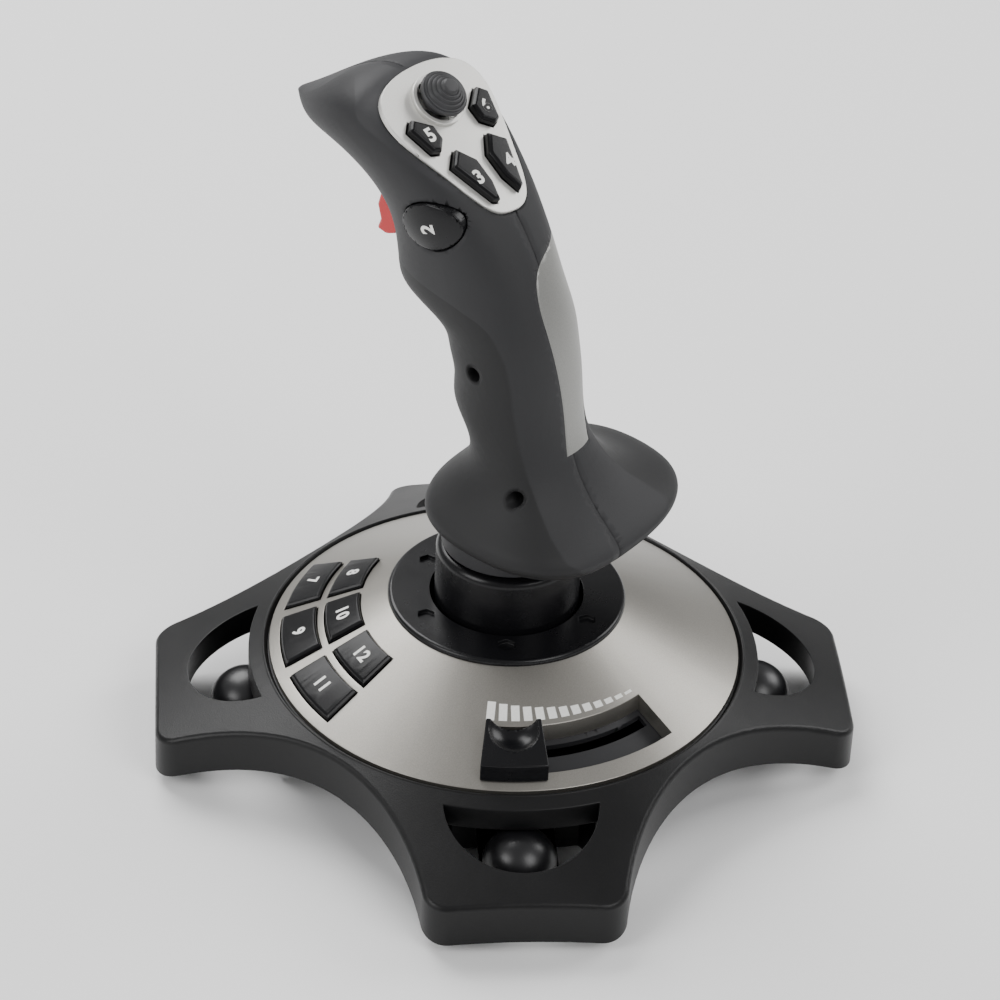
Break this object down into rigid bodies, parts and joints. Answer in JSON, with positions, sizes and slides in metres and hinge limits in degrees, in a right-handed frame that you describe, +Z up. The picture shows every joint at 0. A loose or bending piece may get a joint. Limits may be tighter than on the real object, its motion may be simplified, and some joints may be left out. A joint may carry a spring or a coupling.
{
  "type": "desktop flight joystick",
  "caption": "Flight joystick on a four-armed suction-cup base: tilting, twisting right-hand grip with trigger, hat switch, thumb buttons and hand rest, arc throttle and base keys.",
  "frame": {"origin": "on the table, under the middle of the object's bounding box", "axes": "+Z up; +Y forwards, the way the beak of the grip points; +X to the player's right"},
  "size_m": [0.2078, 0.2078, 0.2416],
  "materials": {
    "satin_black": "satin, fine moulded texture",
    "gloss_black": "polished",
    "key_black": "polished, white digits",
    "soft_grip": "matte soft-touch coating",
    "silver_paint": "champagne silver, satin",
    "panel_silver": "bright silver, satin",
    "strip_silver": "satin silver",
    "trigger_red": "gloss red",
    "cup_rubber": "smooth",
    "hat_rubber": "ridged, matte",
    "inner_plastic": "moulded",
    "natural_nylon": "natural nylon",
    "circuit_board": "solder mask",
    "switch_black": "moulded",
    "steel": "bright",
    "zinc": "zinc plated",
    "magnet": "nickel plated"
  },
  "bodies": {
    "base": {"base_housing": "satin_black", "top_plate": "silver_paint", "collar_ring": "gloss_black", "throttle_tray": "inner_plastic", "throttle_sensor": "circuit_board", "bottom_cover": "inner_plastic", "suction_cup_1": "cup_rubber", "suction_cup_2": "cup_rubber", "suction_cup_3": "cup_rubber", "suction_cup_4": "cup_rubber", "key_board": "circuit_board", "key_switches": "switch_black", "gimbal_cradle": "inner_plastic", "pressure_plate": "natural_nylon", "tilt_sensor_board": "circuit_board", "main_board": "circuit_board", "cable_inlet": "inner_plastic", "base_screws": "zinc", "cradle_screws": "zinc"},
    "gimbal": {"gimbal_ring": "natural_nylon", "pitch_pins": "steel"},
    "stick": {"stick_shaft": "inner_plastic", "roll_pin": "steel", "tilt_magnet": "magnet", "stick_sleeve": "gloss_black", "sleeve_screws": "zinc", "centring_spring": "steel", "retaining_ring": "steel"},
    "handle": {"handle_left_shell": "soft_grip", "handle_right_shell": "soft_grip", "rear_strip": "strip_silver", "head_panel": "panel_silver", "hat_ring": "panel_silver", "hat_switch": "switch_black", "head_board": "circuit_board", "head_switches": "switch_black", "handle_screws": "zinc", "trigger_pin": "steel", "twist_collar": "inner_plastic", "twist_bushing": "natural_nylon", "twist_spring": "steel"},
    "throttle": {"throttle_knob": "gloss_black", "throttle_carrier": "natural_nylon"},
    "hat_yoke": {"hat_cross": "natural_nylon"},
    "hat": {"hat_cap": "hat_rubber"},
    "trigger_lever": {"trigger": "trigger_red"},
    "button_2_key": {"button_2": "gloss_black"},
    "button_3_key": {"button_3": "key_black"},
    "button_4_key": {"button_4": "key_black"},
    "button_5_key": {"button_5": "key_black"},
    "button_6_key": {"button_6": "key_black"},
    "button_7_key": {"button_7": "key_black"},
    "button_8_key": {"button_8": "key_black"},
    "button_9_key": {"button_9": "key_black"},
    "button_10_key": {"button_10": "key_black"},
    "button_11_key": {"button_11": "key_black"},
    "button_12_key": {"button_12": "key_black"}
  },
  "joints": [
    {"name": "pitch", "type": "hinge", "parent": "base", "child": "gimbal", "pos_m": [0, 0, 0.059], "axis": [1, 0, 0], "range_deg": [-12, 12], "stiffness_Nm_per_rad": 1.5},
    {"name": "roll", "type": "hinge", "parent": "gimbal", "child": "stick", "pos_m": [0, 0, 0.059], "axis": [0, 1, 0], "range_deg": [-12, 12], "stiffness_Nm_per_rad": 1.5, "deforming": ["centring_spring"]},
    {"name": "twist", "type": "hinge", "parent": "stick", "child": "handle", "pos_m": [0, 0, 0.09], "axis": [0, 0, 1], "range_deg": [-15, 15], "stiffness_Nm_per_rad": 0.8},
    {"name": "trigger_pull", "type": "hinge", "parent": "handle", "child": "trigger_lever", "pos_m": [0, 0.0485, 0.1935], "axis": [1, 0, 0], "range_deg": [-10, 0], "stiffness_Nm_per_rad": 0.3},
    {"name": "hat_fore_aft", "type": "hinge", "parent": "handle", "child": "hat_yoke", "pos_m": [0, 0.04136, 0.22808], "axis": [1, 0, 0], "range_deg": [-10, 10], "stiffness_Nm_per_rad": 0.05},
    {"name": "hat_side", "type": "hinge", "parent": "hat_yoke", "child": "hat", "pos_m": [0, 0.04136, 0.22808], "axis": [0, 0.8121, 0.5835], "range_deg": [-10, 10], "stiffness_Nm_per_rad": 0.05},
    {"name": "throttle_turn", "type": "hinge", "parent": "base", "child": "throttle", "pos_m": [0, 0, 0.04], "axis": [0, 0, 1], "range_deg": [0, 36]},
    {"name": "press_3", "type": "slide", "parent": "handle", "child": "button_3_key", "axis": [0, 0.5835, -0.8121], "range_m": [0, 0.001], "stiffness_N_per_m": 600},
    {"name": "press_4", "type": "slide", "parent": "handle", "child": "button_4_key", "axis": [0, 0.5835, -0.8121], "range_m": [0, 0.001], "stiffness_N_per_m": 600},
    {"name": "press_5", "type": "slide", "parent": "handle", "child": "button_5_key", "axis": [0, 0.5835, -0.8121], "range_m": [0, 0.001], "stiffness_N_per_m": 600},
    {"name": "press_6", "type": "slide", "parent": "handle", "child": "button_6_key", "axis": [0, 0.5835, -0.8121], "range_m": [0, 0.001], "stiffness_N_per_m": 600},
    {"name": "press_2", "type": "slide", "parent": "handle", "child": "button_2_key", "axis": [0.985, 0.165, 0.05], "range_m": [0, 0.0012], "stiffness_N_per_m": 600},
    {"name": "press_7", "type": "slide", "parent": "base", "child": "button_7_key", "axis": [0, 0, -1], "range_m": [0, 0.0012], "stiffness_N_per_m": 600},
    {"name": "press_8", "type": "slide", "parent": "base", "child": "button_8_key", "axis": [0, 0, -1], "range_m": [0, 0.0012], "stiffness_N_per_m": 600},
    {"name": "press_9", "type": "slide", "parent": "base", "child": "button_9_key", "axis": [0, 0, -1], "range_m": [0, 0.0012], "stiffness_N_per_m": 600},
    {"name": "press_10", "type": "slide", "parent": "base", "child": "button_10_key", "axis": [0, 0, -1], "range_m": [0, 0.0012], "stiffness_N_per_m": 600},
    {"name": "press_11", "type": "slide", "parent": "base", "child": "button_11_key", "axis": [0, 0, -1], "range_m": [0, 0.0012], "stiffness_N_per_m": 600},
    {"name": "press_12", "type": "slide", "parent": "base", "child": "button_12_key", "axis": [0, 0, -1], "range_m": [0, 0.0012], "stiffness_N_per_m": 600}
  ]
}
